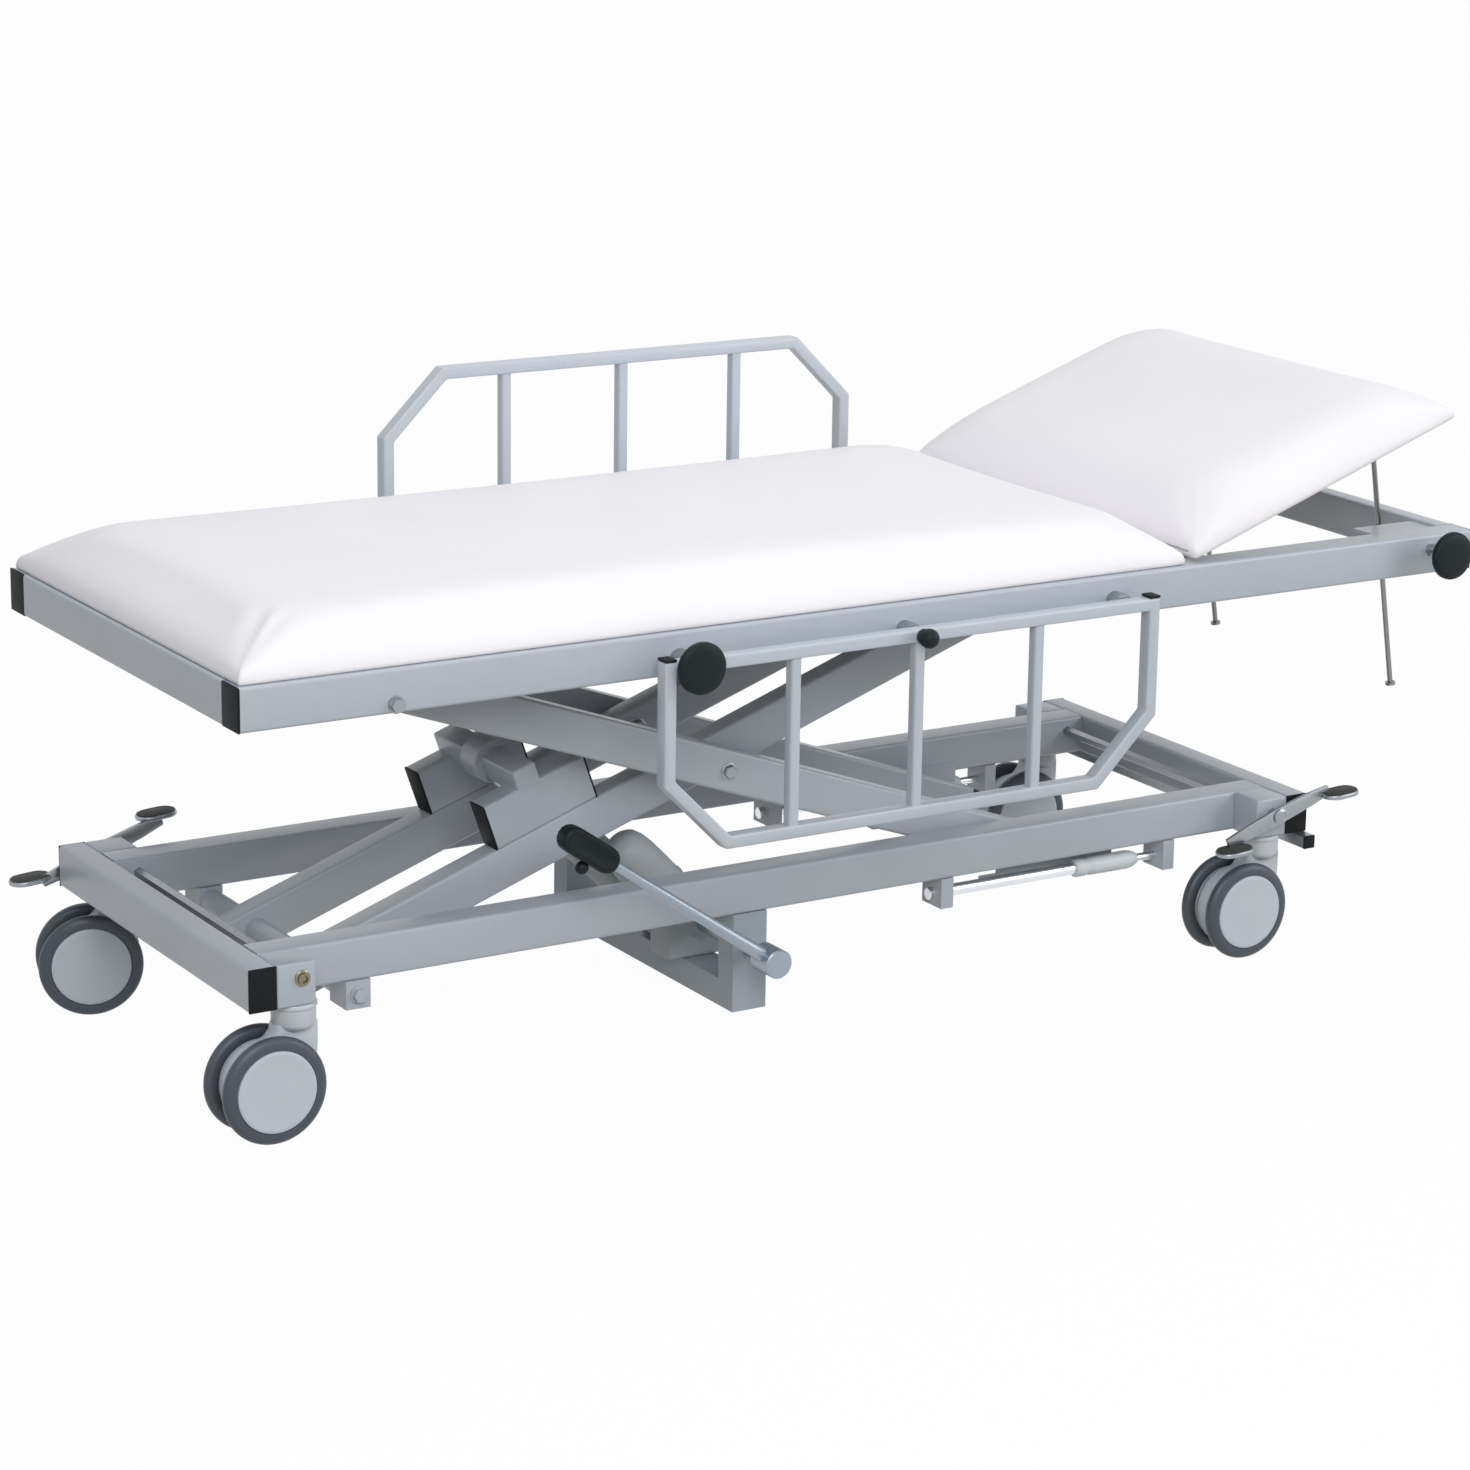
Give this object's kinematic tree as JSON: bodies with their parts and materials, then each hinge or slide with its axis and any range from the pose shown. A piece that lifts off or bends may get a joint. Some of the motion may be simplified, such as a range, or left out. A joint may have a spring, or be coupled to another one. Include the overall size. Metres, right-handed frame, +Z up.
{
  "type": "patient transport stretcher",
  "caption": "Height-adjustable patient stretcher: scissor lift with lever pump, padded bed with raised headrest, swing-over side guards, twin-wheel braked casters and stowed infusion poles",
  "frame": {"origin": "on the floor under the middle of the bounding box", "axes": "+X toward the head end, +Z up, the pump lever side is -Y"},
  "size_m": [2.0584, 0.915, 0.865],
  "materials": {
    "frame_paint": "gloss light blue grey",
    "vinyl": "satin white vinyl",
    "board": "matte",
    "black_plastic": "matte black",
    "steel": "satin",
    "chrome": "polished",
    "brass": "polished",
    "tyre": "smooth dark blue grey",
    "caster": "satin grey",
    "cast": "painted grey"
  },
  "bodies": {
    "base": {"lower_rails": "frame_paint", "lower_crossbars": "frame_paint", "lower_end_caps": "black_plastic", "stop_bar": "steel", "caster_blocks": "frame_paint", "pivot_brackets": "frame_paint", "lower_pivot_shaft": "steel", "lower_tracks": "frame_paint", "pole_brackets": "frame_paint", "brake_bolts": "brass", "pump_cradle": "frame_paint", "pump_body": "cast"},
    "bed": {"upper_rails": "frame_paint", "upper_crossbars": "frame_paint", "upper_end_caps": "black_plastic", "upper_tracks": "frame_paint", "upper_pivot_shaft": "steel", "head_brackets": "frame_paint", "guard_fixings": "steel", "mattress_board": "board", "mattress": "vinyl"},
    "back": {"headrest_board": "board", "headrest": "vinyl", "headrest_brackets": "steel"},
    "struts": {"support_struts": "steel"},
    "lift_inner": {"inner_arms": "frame_paint", "arm_stubs": "frame_paint", "stub_caps": "black_plastic", "lift_crosstube": "frame_paint"},
    "lift_outer": {"outer_arms": "frame_paint", "centre_bolts": "steel"},
    "rollers_up": {"upper_rollers": "steel"},
    "rollers_low": {"lower_rollers": "steel"},
    "cylinder": {"pump_cylinder": "cast"},
    "piston": {"piston_rod": "chrome"},
    "pump_lever": {"lever": "chrome", "lever_grip": "black_plastic"},
    "release": {"release_knob": "black_plastic"},
    "side_near": {"guard_near": "frame_paint", "guard_plugs_near": "black_plastic"},
    "side_far": {"guard_far": "frame_paint", "guard_plugs_far": "black_plastic"},
    "clamp_near": {"guard_knob_near": "black_plastic"},
    "clamp_far": {"guard_knob_far": "black_plastic"},
    "pin_near": {"guard_ball_near": "black_plastic"},
    "pin_far": {"guard_ball_far": "black_plastic"},
    "knob_near": {"head_knob_near": "black_plastic"},
    "knob_far": {"head_knob_far": "black_plastic"},
    "brake_head": {"pedal_head": "steel"},
    "brake_foot": {"pedal_foot": "steel"},
    "infusion_near": {"pole_near": "chrome"},
    "infusion_far": {"pole_far": "chrome"},
    "swivel_near_foot": {"fork_near_foot": "caster"},
    "roll_near_foot": {"wheels_near_foot": "tyre"},
    "swivel_near_head": {"fork_near_head": "caster"},
    "roll_near_head": {"wheels_near_head": "tyre"},
    "swivel_far_foot": {"fork_far_foot": "caster"},
    "roll_far_foot": {"wheels_far_foot": "tyre"},
    "swivel_far_head": {"fork_far_head": "caster"},
    "roll_far_head": {"wheels_far_head": "tyre"}
  },
  "joints": [
    {"name": "lift", "type": "hinge", "parent": "base", "child": "lift_inner", "pos_m": [-0.7798, -0.021, 0.164], "axis": [0, -1, 0], "range_deg": [-3, 10]},
    {"name": "scissor_centre", "type": "hinge", "parent": "lift_inner", "child": "lift_outer", "pos_m": [-0.1728, -0.021, 0.378], "axis": [0, -1, 0], "range_deg": [-20.5, 6.5]},
    {"name": "bed_level", "type": "hinge", "parent": "lift_outer", "child": "bed", "pos_m": [-0.7798, -0.021, 0.592], "axis": [0, -1, 0], "range_deg": [-3.2, 10.2]},
    {"name": "roller_up_turn", "type": "hinge", "parent": "lift_inner", "child": "rollers_up", "pos_m": [0.4342, -0.021, 0.592], "axis": [0, -1, 0], "continuous": true},
    {"name": "roller_low_turn", "type": "hinge", "parent": "lift_outer", "child": "rollers_low", "pos_m": [0.4342, -0.021, 0.164], "axis": [0, -1, 0], "continuous": true},
    {"name": "cylinder_tilt", "type": "hinge", "parent": "base", "child": "cylinder", "pos_m": [-0.1558, -0.021, 0.1], "axis": [0, -1, 0], "range_deg": [-1.3, 0.5]},
    {"name": "piston_slide", "type": "slide", "parent": "cylinder", "child": "piston", "axis": [-0.7233, 0, 0.6905], "range_m": [-0.0208, 0.0685]},
    {"name": "headrest_tilt", "type": "hinge", "parent": "bed", "child": "back", "pos_m": [0.4982, 0, 0.632], "axis": [0, -1, 0], "range_deg": [-19.4, 22]},
    {"name": "strut_swing", "type": "hinge", "parent": "back", "child": "struts", "pos_m": [0.9521, 0, 0.77912], "axis": [0, -1, 0], "range_deg": [-12.5, 11]},
    {"name": "guard_near_turn", "type": "hinge", "parent": "bed", "child": "side_near", "pos_m": [0.0012, -0.415, 0.603], "axis": [0, 1, 0], "range_deg": [0, 180]},
    {"name": "guard_far_turn", "type": "hinge", "parent": "bed", "child": "side_far", "pos_m": [0.0012, 0.415, 0.603], "axis": [0, -1, 0], "range_deg": [-180, 0]},
    {"name": "clamp_near_turn", "type": "hinge", "parent": "side_near", "child": "clamp_near", "pos_m": [-0.3588, -0.437, 0.603], "axis": [0, -1, 0], "range_deg": [-180, 180]},
    {"name": "clamp_far_turn", "type": "hinge", "parent": "side_far", "child": "clamp_far", "pos_m": [0.3612, 0.437, 0.603], "axis": [0, 1, 0], "range_deg": [-180, 180]},
    {"name": "pin_near_pull", "type": "slide", "parent": "bed", "child": "pin_near", "axis": [0, -1, 0], "range_m": [0, 0.01]},
    {"name": "pin_far_pull", "type": "slide", "parent": "bed", "child": "pin_far", "axis": [0, 1, 0], "range_m": [0, 0.01]},
    {"name": "knob_near_turn", "type": "hinge", "parent": "bed", "child": "knob_near", "pos_m": [0.9482, -0.43, 0.618], "axis": [0, -1, 0], "range_deg": [-180, 180]},
    {"name": "knob_far_turn", "type": "hinge", "parent": "bed", "child": "knob_far", "pos_m": [0.9482, 0.43, 0.618], "axis": [0, 1, 0], "range_deg": [-180, 180]},
    {"name": "pump_stroke", "type": "hinge", "parent": "base", "child": "pump_lever", "pos_m": [-0.1698, -0.3, 0.131], "axis": [0, 1, 0], "range_deg": [-30, 15]},
    {"name": "release_press", "type": "slide", "parent": "pump_lever", "child": "release", "axis": [0.5736, 0, 0.8192], "range_m": [0, 0.005], "stiffness_N_per_m": 400},
    {"name": "brake_head_press", "type": "hinge", "parent": "base", "child": "brake_head", "pos_m": [0.7172, 0, 0.222], "axis": [0, -1, 0], "range_deg": [-10, 10]},
    {"name": "brake_foot_press", "type": "hinge", "parent": "base", "child": "brake_foot", "pos_m": [-0.8888, 0, 0.222], "axis": [0, -1, 0], "range_deg": [-10, 10]},
    {"name": "pole_near_draw", "type": "slide", "parent": "base", "child": "infusion_near", "axis": [-1, 0, 0], "range_m": [0, 0.03]},
    {"name": "pole_far_draw", "type": "slide", "parent": "base", "child": "infusion_far", "axis": [-1, 0, 0], "range_m": [0, 0.03]},
    {"name": "swivel_near_foot_turn", "type": "hinge", "parent": "base", "child": "swivel_near_foot", "pos_m": [-0.8888, -0.291, 0.16], "axis": [0, 0, 1], "continuous": true},
    {"name": "roll_near_foot_turn", "type": "hinge", "parent": "swivel_near_foot", "child": "roll_near_foot", "pos_m": [-0.9308, -0.291, 0.074], "axis": [0, 1, 0], "continuous": true},
    {"name": "swivel_near_head_turn", "type": "hinge", "parent": "base", "child": "swivel_near_head", "pos_m": [0.7172, -0.291, 0.16], "axis": [0, 0, 1], "continuous": true},
    {"name": "roll_near_head_turn", "type": "hinge", "parent": "swivel_near_head", "child": "roll_near_head", "pos_m": [0.6752, -0.291, 0.074], "axis": [0, 1, 0], "continuous": true},
    {"name": "swivel_far_foot_turn", "type": "hinge", "parent": "base", "child": "swivel_far_foot", "pos_m": [-0.8888, 0.291, 0.16], "axis": [0, 0, 1], "continuous": true},
    {"name": "roll_far_foot_turn", "type": "hinge", "parent": "swivel_far_foot", "child": "roll_far_foot", "pos_m": [-0.92874, 0.30398, 0.074], "axis": [0.309, 0.9511, 0], "continuous": true},
    {"name": "swivel_far_head_turn", "type": "hinge", "parent": "base", "child": "swivel_far_head", "pos_m": [0.7172, 0.291, 0.16], "axis": [0, 0, 1], "continuous": true},
    {"name": "roll_far_head_turn", "type": "hinge", "parent": "swivel_far_head", "child": "roll_far_head", "pos_m": [0.6752, 0.291, 0.074], "axis": [0, 1, 0], "continuous": true}
  ],
  "couplings": [
    {"joint": "scissor_centre", "follows": "lift", "ratio": -2},
    {"joint": "bed_level", "follows": "lift", "ratio": 1},
    {"joint": "cylinder_tilt", "follows": "lift", "ratio": -0.11},
    {"joint": "piston_slide", "follows": "lift", "m_per_rad": 0.388},
    {"joint": "strut_swing", "follows": "headrest_tilt", "ratio": -0.56},
    {"joint": "brake_foot_press", "follows": "brake_head_press", "ratio": 1}
  ]
}
